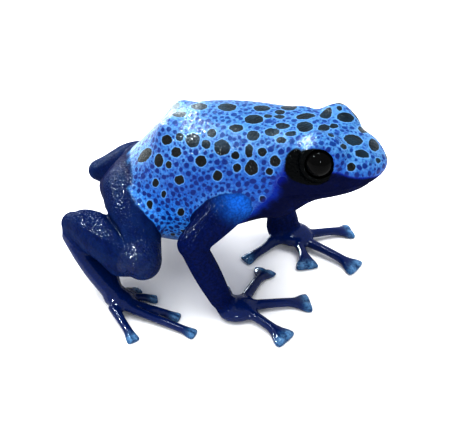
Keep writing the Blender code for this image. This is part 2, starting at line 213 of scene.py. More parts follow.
# Other regions of colour and gloss
UPWARD_BLUR_MM = 0.8
BACK_FACING = (0.1, 0.75)
# The belly's own darker colour, which also paints shade, falls on skin facing down this far
BELLY_FACING = (-0.9, -0.45)
# Painted bounce light: heights over which the lower flank is painted brighter
BOUNCE_LIT_FLANK_MM = (13.0, 19.5)
SHOULDER_MM = (6.0, 7.2, 19.2)
SHOULDER_FADE_MM = (0.5, 5.0)
SHOULDER_BLUR_MM = 0.5
REGION_BLUR_MM = 0.7
SLICK_LEAST = 0.75
KNEE_BEADS = 0.9
KNEE_BEADS_MM = (2.5, 4.5)
KNEE_MOIST_MM = 3.6
MOIST = 1.0
WET = 2.0

# Spots in the photograph: pixel centre, half width, half height if not round, tilt in degrees
SPOTS_PX = (
    (166.5, 140, 5), (180, 137, 4), (192.5, 140, 7), (206, 144, 4.5), (212, 133, 4.5),
    (222, 147.5, 8), (176, 152.5, 5), (201, 161, 5.5), (179.5, 180, 4.5), (217.5, 176, 4.8),
    (251.6, 168, 6.5, 7.5), (249, 150.5, 4, 6), (235, 155.6, 4), (237, 167.6, 3.7, 4.5),
    (229.4, 173.7, 3), (253.5, 135.5, 6, 5), (236, 128, 7, 4), (254, 119, 9, 4.7),
    (272, 132, 7, 4), (227, 107, 9.5, 4), (199, 106, 8, 3.5), (203, 99.5, 6, 1.5),
    (179, 114, 8, 3), (176, 106, 4), (262, 108, 8, 3), (289, 107.6, 8, 2.5), (281, 140, 5, 3),
    (292, 141.5, 2.7), (262, 152, 4.3), (275, 161, 5, 6), (269.6, 171.5, 3.5), (281, 152, 3),
    (271, 149, 3), (282.5, 125.8, 7, 3), (158.7, 160.5, 4.5, 6.5), (144.5, 155, 11, 5, 43),
    (155.4, 182.7, 3.2, 4), (150, 204.4, 2.9, 4.3), (143, 176, 2.2, 3), (147.3, 186.5, 2.2, 2.7),
    (164, 177.3, 2.4), (163.6, 194, 2.4, 3.4), (193.2, 192.4, 2.7), (181, 212.3, 3.4),
    (173, 234.7, 2), (201, 179, 3), (188.7, 173.5, 2.5), (176.3, 164.3, 2.7),
    (168.6, 164.8, 2.8, 3.5), (190.5, 159, 2.7, 3.3), (225, 162, 3), (217, 162.6, 2.7),
    (236, 144.7, 3), (243, 179, 2), (262.4, 199, 3), (263.5, 180, 2.6), (256, 187, 2.5),
    (305, 126.6, 8, 5.5), (323.8, 128, 5.5, 3.7), (326, 114, 7, 4.5, 40), (305.5, 116, 10, 3, 8),
    (346, 117, 8.7, 4.9, -6), (339.5, 108, 2.5), (353.3, 139.6, 9.5, 5.4, -12),
    (374.3, 144.5, 5, 7, 20), (362.2, 153.6, 8.5, 3.8, -12), (351, 167, 4.2),
    (337.7, 156, 2, 3.5), (362.7, 130, 5, 2.5, -25), (344, 146.3, 4.5, 2.7, -15), (331, 134.6, 3),
    (334, 126, 4, 2.5), (291.3, 133.3, 5.5, 2.5, 8), (284, 125.7, 6, 2.7), (279.6, 112, 5, 2.5),
    (279.6, 116.8, 5, 2), (268.5, 121.3, 3.5, 2), (268, 116, 4, 1.7), (294, 120.4, 3, 1.5),
    (378.3, 160.5, 2.5), (370.7, 164.4, 2.5, 1.5), (283, 182, 5), (293, 193, 3.5, 3),
)

# Spots on the skin: most length for their width, and how far outside them still counts
SPOT_STRETCH = 1.7
SPOT_REACH_MM = 0.7
SPOT_RISE = 0.6
SPOT_RISE_MM = 0.5
LEAST_SLANT = 0.18
NEARLY_UPRIGHT = 0.1
FLECK_MM = 0.47

# Scattered spots: radii, tries, room between them and where they may lie
SEED = 7
LARGE_SPOTS_MM = (1.25, 1.05, 0.9, 0.75, 0.6)
SMALL_SPOTS_MM = (0.46, 0.38, 0.32, 0.26, 0.2, 0.16)
LARGE_TRIES = 700
SMALL_TRIES = 240.0
LARGE_ROOM_MM = 0.3
SMALL_ROOM_MM = 0.14
SPOT_SIZES = (0.88, 1.1)
SPOT_SQUASH = (0.75, 1.0)
SPOT_AXIS = (0.3, 0.2, 0.9)
HIDDEN_SPOT_MM = 0.4
BROAD_SPOT_MM = 0.8
BROAD_LOWEST = 0.1
LARGE_LOWEST = -0.25
SMALL_LOWEST = -0.55
CLEAR_OF_DARK = 0.2
CLEAR_OF_PATCH_MM = 0.3
SIGHT_LIFT_MM = 0.3

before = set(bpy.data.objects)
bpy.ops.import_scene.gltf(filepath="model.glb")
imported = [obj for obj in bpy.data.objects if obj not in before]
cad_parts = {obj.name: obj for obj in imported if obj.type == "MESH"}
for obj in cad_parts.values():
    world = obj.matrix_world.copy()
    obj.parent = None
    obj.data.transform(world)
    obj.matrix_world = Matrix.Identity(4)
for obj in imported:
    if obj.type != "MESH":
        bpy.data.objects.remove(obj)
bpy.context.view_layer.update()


def way_to_camera():
    """Unit vector from the frog towards the camera."""
    a = math.radians(CAMERA_AZIMUTH)
    e = math.radians(CAMERA_ELEVATION)
    return Vector((math.sin(a) * math.cos(e), -math.cos(a) * math.cos(e), math.sin(e)))


def add_object(name, data):
    obj = bpy.data.objects.new(name, data)
    bpy.context.scene.collection.objects.link(obj)
    return obj


def make_camera():
    data = bpy.data.cameras.new("camera")
    camera = add_object("camera", data)
    back = way_to_camera()
    camera.location = (Vector(TARGET_MM) + back * CAMERA_DISTANCE_MM) * MM
    camera.rotation_euler = back.to_track_quat("Z", "Y").to_euler()
    data.sensor_width = SENSOR_MM
    data.lens = CAMERA_LENS_MM
    data.clip_start = CAMERA_NEAR_MM * MM
    bpy.context.scene.camera = camera


def photo_ray(u, v):
    """Start and direction, in millimetres, of the sight line through a photo pixel."""
    back = way_to_camera()
    turn = math.radians(CAMERA_AZIMUTH)
    right = Vector((math.cos(turn), math.sin(turn), 0.0))
    up = back.cross(right)
    focal = CAMERA_LENS_MM / SENSOR_MM * PHOTO_WIDTH
    start = Vector(TARGET_MM) + back * CAMERA_DISTANCE_MM
    ray = right * ((u - PHOTO_WIDTH / 2) / focal) - up * ((v - PHOTO_HEIGHT / 2) / focal) - back
    return start, ray.normalized()


def turned(point):
    """Where a point of the straight head, as built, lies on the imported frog."""
    angle = math.radians(HEAD_TURN)
    x, y, z = point
    dx = x - NECK_X_MM
    turned_x = NECK_X_MM + dx * math.cos(angle) - y * math.sin(angle)
    turned_y = dx * math.sin(angle) + y * math.cos(angle)
    return np.array((turned_x + FRAME_SHIFT_MM, turned_y, z))


def straightened(points):
    """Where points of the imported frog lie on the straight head, as built."""
    angle = math.radians(HEAD_TURN)
    dx = points[:, 0] - FRAME_SHIFT_MM - NECK_X_MM
    y = points[:, 1]
    x = NECK_X_MM + dx * math.cos(angle) + y * math.sin(angle)
    return np.stack((x, -dx * math.sin(angle) + y * math.cos(angle), points[:, 2]), axis=1)


def mirrored(vector, side):
    """A place or push of the left side, for either side."""
    x, y, z = vector
    return np.array((x, side * y, z))


def on_head(place, side):
    """Where a place on the straight head's left lies, for either side."""
    return turned(mirrored(place, side))


def distances(points, centre):
    return np.linalg.norm(points - centre, axis=1)


def ramp(values, low, high):
    """Smooth step from 0 at low to 1 at high."""
    t = np.clip((values - low) / (high - low), 0.0, 1.0)
    return t * t * (3.0 - 2.0 * t)


def ridge(values, middle, width):
    """A smooth hump: 1 at the middle, fading to 0 over the width."""
    return np.exp(-((values - middle) / width) ** 2)


def read(items, name, width, kind=np.float32):
    values = np.empty(len(items) * width, dtype=kind)
    items.foreach_get(name, values)
    return values.reshape(-1, width) if width > 1 else values


def node_kind(node):
    """The kind of a node: its name without its side and number."""
    words = [w for w in node.split("_") if w not in ("left", "right") and not w.isdigit()]
    return "_".join(words)


def welded(node):
    """A solid with its split corners joined, in metres."""
    bm = bmesh.new()
    bm.from_mesh(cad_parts[node].data)
    bmesh.ops.remove_doubles(bm, verts=bm.verts, dist=WELD)
    bmesh.ops.recalc_face_normals(bm, faces=bm.faces)
    bm.normal_update()
    return bm


def mesh_of(name, bm):
    mesh = bpy.data.meshes.new(name)
    bm.to_mesh(mesh)
    bm.free()
    return mesh


def grown_solids(nodes):
    """One mesh, in millimetres, of all the solids swollen so that they meet."""
    joined = bmesh.new()
    for node in nodes:
        bm = welded(node)
        lookup = []
        for vert in bm.verts:
            reach = GROW_MM * min(vert.calc_shell_factor(), SHELL_LIMIT)
            lookup.append(joined.verts.new(vert.co / MM + vert.normal * reach))
        for face in bm.faces:
            joined.faces.new([lookup[v.index] for v in face.verts])
        bm.free()
    return mesh_of("grown", joined)


def remeshed(mesh):
    """A closed surface of small even faces round a mesh."""
    obj = add_object("remesh", mesh)
    modifier = obj.modifiers.new("remesh", "REMESH")
    modifier.mode = "VOXEL"
    modifier.voxel_size = VOXEL_MM
    graph = bpy.context.evaluated_depsgraph_get()
    result = bpy.data.meshes.new_from_object(obj.evaluated_get(graph))
    bpy.data.objects.remove(obj)
    return result


def keep_largest_piece(mesh):
    """Drops loose islands, such as walls inside the body."""
    edges = read(mesh.edges, "vertices", 2, np.int32)
    label = np.arange(len(mesh.vertices))
    while True:
        low = np.minimum(label[edges[:, 0]], label[edges[:, 1]])
        new = label.copy()
        np.minimum.at(new, edges[:, 0], low)
        np.minimum.at(new, edges[:, 1], low)
        new = new[new]
        if np.array_equal(new, label):
            break
        label = new
    keep = label == np.bincount(label).argmax()
    bm = bmesh.new()
    bm.from_mesh(mesh)
    loose = [vert for vert, kept in zip(bm.verts, keep) if not kept]
    bmesh.ops.delete(bm, geom=loose, context="VERTS")
    bm.to_mesh(mesh)
    bm.free()


def passes(reach):
    """How many smoothing passes spread a value that many millimetres."""
    return max(1, round(2.0 * (reach / VOXEL_MM) ** 2))


class Net:
    """The neighbours of each vertex, for smoothing what is held at the vertices."""

    def __init__(self, mesh):
        edges = read(mesh.edges, "vertices", 2, np.int32)
        self.size = len(mesh.vertices)
        self.start = np.concatenate((edges[:, 0], edges[:, 1]))
        self.end = np.concatenate((edges[:, 1], edges[:, 0]))
        self.count = np.maximum(np.bincount(self.start, minlength=self.size), 1)

    def mean(self, values):
        if values.ndim == 1:
            return np.bincount(self.start, values[self.end], self.size) / self.count
        return np.stack([self.mean(column) for column in values.T], axis=1)

    def blurred(self, values, reach):
        values = values.astype(float)
        for _ in range(passes(reach)):
            values = 0.5 * (values + self.mean(values))
        return values

    def smoothed(self, points, weight, reach):
        """Plain smoothing, which also melts creases, by each vertex's own weight."""
        for _ in range(passes(reach)):
            points = points + SMOOTH_STEP * weight[:, None] * (self.mean(points) - points)
        return points


class Solids:
    """All the solids under the skin, to find which one a point is nearest to."""

    def __init__(self, nodes):
        self.nodes = np.array(nodes)
        self.kinds = np.array([node_kind(n) for n in nodes])
        corners, faces, owner = [], [], []
        for index, node in enumerate(nodes):
            bm = welded(node)
            base = len(corners)
            corners += [v.co / MM for v in bm.verts]
            for face in bm.faces:
                faces.append([base + v.index for v in face.verts])
                owner.append(index)
            bm.free()
        self.tree = BVHTree.FromPolygons(corners, faces)
        self.owner = np.array(owner)

    def nearest(self, points):
        """Index and signed distance of the nearest solid, for each point."""
        owner = np.zeros(len(points), dtype=int)
        gap = np.zeros(len(points))
        for i, point in enumerate(points):
            place, normal, face, distance = self.tree.find_nearest(point)
            owner[i] = self.owner[face]
            side = (Vector(point) - place).dot(normal)
            gap[i] = distance if side > 0 else -distance
        return owner, gap


class Skin:
    """The skin while it is shaped: its points in millimetres and the solid under each."""

    def __init__(self, mesh):
        self.mesh = mesh
        self.net = Net(mesh)
        self.points = read(mesh.vertices, "co", 3).astype(float)

    def find_solids(self, solids):
        """Notes the solid under each point. Gives how far outside it the point is."""
        index, gap = solids.nearest(self.points)
        self.owner = solids.nodes[index]
        self.kinds = solids.kinds[index]
        return gap

    def on(self, *kinds):
        """Which points lie on those kinds of solid."""
        return np.isin(self.kinds, kinds)

    def meeting(self, first, second, reach):
        """From 0 to 1, how near each point is to where two groups of kinds meet."""
        inner = self.net.blurred(self.on(*first), reach)
        outer = self.net.blurred(self.on(*second), reach)
        return np.clip(4.0 * inner * outer, 0.0, 1.0)

    def normals(self):
        return read(self.mesh.vertex_normals, "vector", 3).astype(float)

    def move(self, points):
        self.points = points
        self.mesh.vertices.foreach_set("co", points.astype(np.float32).ravel())
        self.mesh.update()

    def hold(self, name, values):
        """Keeps a number at each vertex for the materials."""
        layer = self.mesh.attributes.new(name, "FLOAT", "POINT")
        layer.data.foreach_set("value", values.astype(np.float32))


def smoothing_weight(skin):
    """How much each point is smoothed: by its kind of solid, and little at the lids."""
    weight = np.array([SMOOTH_WEIGHT[kind] for kind in skin.kinds])
    for side in SIDES:
        away = distances(skin.points, on_head(EYE_CENTRE_MM, side))
        weight = np.minimum(weight, np.clip((away - LID_START_MM) / LID_FADE_MM, LID_WEIGHT, 1.0))
    return skin.net.blurred(weight, WEIGHT_BLUR_MM)


def grown_skin(flesh):
    """The skin's surface: solids grown together, melted at the joints, back to size."""
    mesh = remeshed(grown_solids(flesh))
    keep_largest_piece(mesh)
    skin = Skin(mesh)
    solids = Solids(flesh)
    skin.find_solids(solids)
    weight = smoothing_weight(skin)
    joints = np.zeros(len(skin.points))
    for inner, outer, strength in JOINTS:
        joints = np.maximum(joints, strength * skin.meeting(inner, outer, JOINT_SPREAD_MM))
    points = skin.net.smoothed(skin.points, weight, SMOOTH_MM)
    skin.move(skin.net.smoothed(points, joints, JOINT_SMOOTH_MM))
    gap = np.clip(skin.find_solids(solids), -GAP_LIMIT_MM, GAP_LIMIT_MM)
    gap = skin.net.blurred(gap * (1.0 - joints), GAP_SMOOTH_MM)
    skin.move(skin.points - skin.normals() * gap[:, None])
    return skin


def falloff(points, centre, reach):
    """From 1 at a centre to 0 well beyond its reach."""
    return np.exp(-np.sum(((points - centre) / reach) ** 2, axis=1))


def bump(points, centre, reach, push):
    """Moves the points near a centre along a push, fading over the reach."""
    return points + falloff(points, centre, reach)[:, None] * np.array(push)


def paired(points, forms, place=mirrored):
    """Adds forms to the right side and then to the left."""
    for side in SIDES:
        for form in forms:
            push = mirrored(form.push, side)
            points = bump(points, place(form.centre, side), form.reach, push)
    return points


def sculpt_hips(skin):
    """Sharpens the two hip bones on the rump and hollows the saddle between them."""
    skin.move(bump(paired(skin.points, (HIP_BONE,)), *SADDLE))


def sculpt_head(skin):
    """Lifts the eye bulges, fills the dip behind each and rounds out the throat."""
    skin.move(paired(skin.points, (BROW, NAPE, THROAT), on_head))


def sculpt_mouth(skin):
    """Presses in the mouth line, raises the lips beside it and drops the chin."""
    straight = straightened(skin.points)
    line_x, line_z = zip(*MOUTH_MM)
    above = straight[:, 2] - np.interp(straight[:, 0], line_x, line_z)
    along = ramp(straight[:, 0], *MOUTH_START_MM) * skin.on(*HEAD_KINDS)
    groove = -GROOVE_DEPTH_MM * ridge(above, 0.0, GROOVE_WIDTH_MM)
    lips = UPPER_LIP_MM * ridge(above, LIP_OFFSET_MM, LIP_WIDTH_MM)
    lips = lips + LOWER_LIP_MM * ridge(above, -LIP_OFFSET_MM, LIP_WIDTH_MM)
    points = skin.points + skin.normals() * ((groove + lips) * along)[:, None]
    chin = skin.on("lower_jaw") * ramp(straight[:, 0], *CHIN_X_MM)
    chin = skin.net.blurred(chin * ramp(-above, *CHIN_BELOW_MM), CHIN_BLUR_MM)
    points[:, 2] -= CHIN_DROP_MM * chin
    skin.move(points)


def sculpt_nostrils(skin):
    """Presses in each nostril and raises a rim above it."""
    points = skin.points
    for side in SIDES:
        nearest = points[np.argmin(distances(points, on_head(NOSTRIL_MM, side)))]
        inward = mirrored(NOSTRIL_OUTWARD, side) * -NOSTRIL_DEPTH_MM
        points = bump(points, nearest, NOSTRIL_REACH_MM, inward)
        points = bump(points, nearest + RIM_MM, RIM_REACH_MM, -RIM_SHARE * inward)
    skin.move(points)


def sculpt_knees(skin):
    """Presses a crease where the folded shank lies against the thigh."""
    crease = skin.meeting(("thigh",), ("shank",), CREASE_MM) ** 2
    for knee in KNEES_MM.values():
        crease *= ramp(distances(skin.points, knee), *CREASE_KNEE_MM)
    points = skin.points - skin.normals() * (CREASE_DEPTH_MM * crease)[:, None]
    skin.move(paired(points, (SHANK_TOP,)))


def sculpt_lower_legs(skin):
    """Deepens each shank behind the knee and widens the tarsus folded under it."""
    tarsus = skin.on("tarsus", "foot")
    normals = skin.normals()
    points = skin.points
    for side in SIDES:
        calf = KNEES_MM[side] + mirrored(CALF.centre, side)
        points = bump(points, calf, CALF.reach, mirrored(CALF.push, side))
        inward = mirrored(TARSUS_INWARD, side)
        fade = falloff(points, TARSI_MM[side], TARSUS_REACH_MM)
        fade *= tarsus * ramp(normals @ inward, *TARSUS_FACING)
        points = points + np.outer(TARSUS_WIDER_MM * fade, inward)
    skin.move(points)


def sculpt_far_hand(skin):
    """Fills out the left wrist and palm, and all the digits a little."""
    height = skin.points[:, 2]
    arm = skin.on("forearm", "hand") & (skin.points[:, 1] > 0.0)
    fill = ARM_FILL_MM * arm * (1.0 - ramp(height, *ARM_FILL_TOP_MM))
    fill = fill * ramp(height, *ARM_FILL_FOOT_MM)
    fill = skin.net.blurred(fill + DIGIT_FILL_MM * skin.on(*DIGIT_KINDS), FILL_BLUR_MM)
    outward = skin.normals()
    outward[:, 2] *= ramp(height, *FILL_UPWARD_MM) * FILL_UPWARD
    skin.move(bump(skin.points + outward * fill[:, None], *WRIST))


def solid_points(node):
    return read(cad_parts[node].data.vertices, "co", 3).astype(float) / MM


class Digit:
    """Where a finger's or toe's disc is, and how it lies."""

    def __init__(self, node, hand):
        self.node = node
        corners = solid_points(node)
        base = solid_points(hand).mean(axis=0)
        away = np.linalg.norm((corners - base)[:, :2], axis=1)
        away = (away - away.min()) / np.ptp(away)
        near = corners[away > DISC_SHARE]
        shaft = corners[(away > SHAFT_SHARES[0]) & (away < SHAFT_SHARES[1])]
        axis = near.mean(axis=0) - shaft.mean(axis=0)
        axis[2] = 0.0
        self.axis = axis / np.linalg.norm(axis)
        self.across = np.array((-self.axis[1], self.axis[0], 0.0))
        self.width = np.ptp(near @ self.across)
        self.middle = near.mean(axis=0)
        self.end = (corners @ self.axis).max()
        self.fan, self.front = DISC_FLARE[node_kind(node)]


def digits():
    found = []
    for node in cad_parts:
        if node_kind(node) in DIGIT_KINDS:
            kind, side, _ = node.split("_")
            hand = "hand" if kind == "finger" else "foot"
            found.append(Digit(node, f"{hand}_{side}"))
    return found


def sculpt_digits(skin):
    """Fans out each disc and raises its two scutes. Gives how much is disc and scute."""
    points = skin.points
    disc = np.zeros(len(points))
    scutes = np.zeros(len(points))
    spread = np.zeros((len(points), 3))
    up = skin.normals()[:, 2]
    for digit in digits():
        near = (distances(points, digit.middle) < DISC_REACH_MM) & (skin.owner == digit.node)
        back = digit.end - points @ digit.axis
        across = (points - digit.middle) @ digit.across / (digit.width / 2)
        inside = near & (back < DISC_LENGTH_MM)
        disc = np.maximum(disc, (1.0 - ramp(back, *DISC_COLOUR_MM)) * inside)
        fan = (1.0 - ramp(back, *FAN_MM)) * near
        spread += (fan * across * digit.width / 2 * digit.fan)[:, None] * digit.across
        front = (1.0 - ramp(back, *FRONT_MM)) * near
        spread += (front * digit.front * np.minimum(across ** 2, 1.0))[:, None] * digit.axis
        raised = ridge(np.abs(across), SCUTE_PLACE, SCUTE_WIDTH)
        raised = raised - SCUTE_GROOVE * ridge(across, 0.0, SCUTE_GROOVE_WIDTH)
        raised = raised * (1.0 - ramp(back, *SCUTE_END_MM)) * ramp(up, *SCUTE_FACING) * inside
        spread[:, 2] += SCUTE_RISE_MM * raised
        scutes = np.maximum(scutes, raised)
    skin.move(points + spread)
    return disc, scutes


def outline_depth(outline, x, z):
    """How far inside a closed outline each point is, negative outside."""
    best = np.full(len(x), np.inf)
    inside = np.zeros(len(x), dtype=bool)
    for (ax, az), (bx, bz) in zip(outline, outline[1:] + outline[:1]):
        length = math.hypot(bx - ax, bz - az)
        along = ((x - ax) * (bx - ax) + (z - az) * (bz - az)) / length ** 2
        along = np.clip(along, 0.0, 1.0)
        away = np.hypot(x - ax - along * (bx - ax), z - az - along * (bz - az))
        best = np.minimum(best, away)
        if az != bz:
            crosses = ((az > z) != (bz > z)) & (x < ax + (z - az) / (bz - az) * (bx - ax))
            inside ^= crosses
    return np.where(inside, best, -best)


class Spot:
    """A flat oval on the skin."""

    def __init__(self, centre, normal, first, second):
        self.centre = centre
        self.normal = normal
        across = np.cross(normal, (0.0, 0.0, 1.0))
        if np.linalg.norm(across) < NEARLY_UPRIGHT:
            across = np.cross(normal, (0.0, 1.0, 0.0))
        self.across = across / np.linalg.norm(across)
        self.along = np.cross(normal, self.across)
        axes = np.array(((first @ self.across, second @ self.across),
                         (first @ self.along, second @ self.along)))
        left, size, right = np.linalg.svd(axes)
        size = np.minimum(size, size[1] * SPOT_STRETCH)
        self.inverse = np.linalg.inv(left @ np.diag(size) @ right)
        self.radius, self.small = size

    def depth(self, points):
        """How far inside the oval each point is, in millimetres, negative outside."""
        offset = points - self.centre
        flat = np.stack((offset @ self.across, offset @ self.along))
        rise = np.abs(offset @ self.normal)
        reach = np.linalg.norm(self.inverse @ flat, axis=0)
        depth = (1.0 - reach) * self.small
        level = rise < SPOT_RISE * self.radius + SPOT_RISE_MM
        return np.where(level, depth, -SPOT_REACH_MM)


def photo_spot(tree, u, v, half_width, half_height=None, tilt=0.0):
    """A spot on the skin from its oval in the photograph, or None off the skin."""
    half_height = half_height or half_width
    start, ray = photo_ray(u, v)
    place, normal, _, _ = tree.ray_cast(start, ray)
    if place is None:
        return None
    turn = math.radians(tilt)
    sides = ((half_width * math.cos(turn), -half_width * math.sin(turn)),
             (half_height * math.sin(turn), half_height * math.cos(turn)))
    arms = []
    for du, dv in sides:
        start, ray = photo_ray(u + du, v + dv)
        slant = min(ray.dot(normal), -LEAST_SLANT)
        reach = (place - start).dot(normal) / slant
        arms.append(np.array(start + ray * reach - place))
    return Spot(np.array(place), np.array(normal), *arms)


def marked(points, spots):
    """Depth inside the nearest of the spots, for each point."""
    best = np.full(len(points), -SPOT_REACH_MM)
    for spot in spots:
        near = np.nonzero(np.abs(points - spot.centre).max(axis=1) < spot.radius + SPOT_REACH_MM)[0]
        best[near] = np.maximum(best[near], spot.depth(points[near]))
    return best


def round_spot(centre, normal, radius, generator):
    turn = generator.uniform(0.0, math.pi)
    squash = generator.uniform(*SPOT_SQUASH)
    across = np.cross(normal, SPOT_AXIS)
    across /= np.linalg.norm(across)
    along = np.cross(normal, across)
    first = (across * math.cos(turn) + along * math.sin(turn)) * radius
    second = (along * math.cos(turn) - across * math.sin(turn)) * radius * squash
    return Spot(centre, normal, first, second)


def scattered_spots(points, normals, allowed, seen, listed):
    """Seeded spots between the listed ones: large where the photograph can't see."""
    generator = np.random.default_rng(SEED)
    centres = [spot.centre for spot in listed]
    radii = [spot.radius for spot in listed]
    made = []
    pool = np.nonzero(allowed)[0]
    for radius in LARGE_SPOTS_MM + SMALL_SPOTS_MM:
        large = radius in LARGE_SPOTS_MM
        tries = LARGE_TRIES if large else round(SMALL_TRIES / radius ** 2)
        room = LARGE_ROOM_MM if large else SMALL_ROOM_MM
        lowest = BROAD_LOWEST if radius > BROAD_SPOT_MM else LARGE_LOWEST
        for index in generator.choice(pool, tries):
            if seen[index] and radius > HIDDEN_SPOT_MM:
                continue
            if large and normals[index, 2] < lowest:
                continue
            size = radius * generator.uniform(*SPOT_SIZES)
            place = points[index]
            if np.any(distances(np.array(centres), place) < np.array(radii) + size + room):
                continue
            made.append(round_spot(place, normals[index], size, generator))
            centres.append(place)
            radii.append(size)
    return made


def seen_by_camera(tree, points, normals):
    """Which points the camera sees."""
    back = np.array(way_to_camera())
    eye = np.array(TARGET_MM) + back * CAMERA_DISTANCE_MM
    seen = np.zeros(len(points), dtype=bool)
    facing = np.einsum("ij,ij->i", eye - points, normals) > 0.0
    for index in np.nonzero(facing)[0]:
        start = points[index] + normals[index] * SIGHT_LIFT_MM
        hit = tree.ray_cast(start, Vector(eye - start).normalized())
        seen[index] = hit[0] is None
    return seen


def limb_share(skin):
    """How much of each point is navy: the limbs up to the hips, and round the rump."""
    x, _, z = skin.points.T
    trunk = skin.on(*TRUNK_KINDS)
    close = ramp(skin.net.blurred(trunk, TRUNK_BLUR_MM), *TRUNK_NEAR)
    hip = skin.on("thigh") * np.maximum(ramp(z, *HIP_FADE_MM), close)
    low = np.clip(RUMP_LOW_Z_MM - z, 0.0, RUMP_LOW_MM)
    rump = ramp(RUMP_FORWARD * low - x, *RUMP_X_MM) * (1.0 - ramp(z, *RUMP_Z_MM))
    return np.maximum(skin.net.blurred(1.0 - trunk - hip, LIMB_BLUR_MM), rump)


def cheek_share(skin):
    """How much of each point is dark cheek, jaw or throat."""
    x, _, z = straightened(skin.points).T
    soft = CHEEK_EDGE_MM + CHEEK_SOFTER_MM * (1.0 - ramp(x, *CHEEK_SOFT_X_MM))
    share = ramp(outline_depth(CHEEK_MM, x, z) / soft, -CHEEK_FADE, CHEEK_FADE)
    front = skin.on("torso") & (x > 0.0)
    return np.where(skin.on(*HEAD_KINDS) | front, share, 0.0)


def patch_depth(skin):
    """How far inside the black patch round an eye each point is."""
    x, y, z = straightened(skin.points).T
    depth = np.full(len(x), -SPOT_REACH_MM)
    for middle_x, middle_z, length, height in PATCH_MM:
        reach = np.hypot((x - middle_x) / length, (z - middle_z) / height)
        depth = np.maximum(depth, (1.0 - reach) * height)
    return np.where((np.abs(y) > PATCH_SIDE_MM) & skin.on(*HEAD_KINDS), depth, -SPOT_REACH_MM)


def paint_spots(skin, clear):
    """Marks large spots and small flecks: the photograph's, then scattered ones."""
    faces = [tuple(p.vertices) for p in skin.mesh.polygons]
    tree = BVHTree.FromPolygons(skin.points.tolist(), faces)
    normals = skin.normals()
    listed = [photo_spot(tree, *oval) for oval in SPOTS_PX]
    listed = [spot for spot in listed if spot is not None]
    clear = clear & (normals[:, 2] > SMALL_LOWEST)
    seen = seen_by_camera(tree, skin.points, normals)
    spots = listed + scattered_spots(skin.points, normals, clear, seen, listed)
    skin.hold("spot", marked(skin.points, [s for s in spots if s.radius > FLECK_MM]))
    skin.hold("fleck", marked(skin.points, [s for s in spots if s.radius <= FLECK_MM]))


def paint_regions(skin):
    """Marks the regions of navy, dark cheek and black patch, and the spots between."""
    limb = limb_share(skin)
    cheek = cheek_share(skin)
    patch = patch_depth(skin)
    dark = (limb > 0.5) | (cheek > 0.5) | (patch > 0.0)
    skin.hold("limb", limb)
    skin.hold("cheek", skin.net.blurred(cheek, CHEEK_BLUR_MM))
    skin.hold("patch", skin.net.blurred(patch, PATCH_BLUR_MM))
    skin.hold("dark", dark.astype(float))
    clear = (limb < CLEAR_OF_DARK) & (cheek < CLEAR_OF_DARK) & (patch < -CLEAR_OF_PATCH_MM)
    paint_spots(skin, clear)


def paint_tones(skin):
    """Marks the pale back, the dark belly with its painted shade, the low flank brightened with
    painted bounce light, the bright shoulders and the painted grey sheen on the thighs.
    """
    upward = skin.net.blurred(skin.normals()[:, 2], UPWARD_BLUR_MM)
    skin.hold("back", ramp(upward, *BACK_FACING))
    # The belly's darker colour and painted shade, on skin that faces downward
    skin.hold("belly", 1.0 - ramp(upward, *BELLY_FACING))
    # Painted bounce light: how low on the flank each point is, to paint it brighter
    skin.hold("low", 1.0 - ramp(skin.points[:, 2], *BOUNCE_LIT_FLANK_MM))
    # Painted sheen: where thighs and shanks take a grey sheen in their colour
    skin.hold("thigh", skin.net.blurred(skin.on("thigh", "shank"), REGION_BLUR_MM))
    upper_arm = skin.net.blurred(skin.on("upper_arm"), SHOULDER_BLUR_MM)
    away = [distances(skin.points, mirrored(SHOULDER_MM, side)) for side in SIDES]
    skin.hold("royal", upper_arm * (1.0 - ramp(np.minimum(*away), *SHOULDER_FADE_MM)))


def paint_gloss(skin):
    """Marks the smooth hands and feet, and where the skin is moist or wet."""
    slick = skin.net.blurred(skin.on(*HAND_KINDS), REGION_BLUR_MM)
    wet = WET * (slick > SLICK_LEAST)
    for knee in KNEES_MM.values():
        away = distances(skin.points, knee)
        slick -= KNEE_BEADS * (1.0 - ramp(away, *KNEE_BEADS_MM))
        wet[away < KNEE_MOIST_MM] = MOIST
    skin.hold("smooth", slick)
    skin.hold("wet", wet)


# How much of each colour the skin keeps, because the lamps brighten it
PIGMENT = 0.8


def srgb(red, green, blue):
    """A colour given as screen numbers from 0 to 255."""
    out = []
    for value in (red, green, blue):
        c = value / 255.0
        linear = c / 12.92 if c <= 0.04045 else ((c + 0.055) / 1.055) ** 2.4
        out.append(linear * PIGMENT)
    return (*out, 1.0)


# Colours of the trunk
SKY = srgb(72, 132, 180)
FLANK = srgb(32, 100, 178)
# Painted bounce light: the lower flank painted brighter, as if lit from the floor below
FLANK_BOUNCE_LIT = srgb(50, 148, 232)
DEEP = srgb(6, 48, 140)
FLECK = srgb(0, 42, 118)
FLECK_BACK = srgb(8, 62, 130)
# The belly's own darker blue, also painting the shade on the underside
BELLY = srgb(12, 34, 104)
HALO = srgb(110, 162, 214)
SPOT = srgb(7, 12, 15)
# Painted sheen: spots on top of the back and head are painted lighter and bluer, as if the overhead
# light shone off them
SPOT_SHEEN = srgb(20, 48, 66)

# Colours of the limbs
NAVY = srgb(4, 25, 84)
NAVY_DARK = srgb(2, 16, 60)
# Painted sheen: the grey of soft light reflected on thighs and shanks
SHEEN_GREY = srgb(24, 53, 98)
HAND = srgb(8, 44, 106)
ROYAL = srgb(34, 118, 214)
PAD = srgb(98, 142, 182)
TEAL = srgb(66, 112, 150)

# Colours of the face
CHEEK = srgb(4, 12, 54)
VIOLET = srgb(10, 30, 132)
PATCH = srgb(4, 6, 8)
EYE_BLACK = srgb(7, 7, 8)

# Sizes of the skin's patterns
GRAIN_MM = 0.34
COARSE_MM = 1.6
COARSE_DETAIL = 3.0
FINE_MM = 0.35
SPECK_MM = 0.85
NET_MM = 1.3
WOBBLE_MM = 0.8
BEAD_MM = 0.38

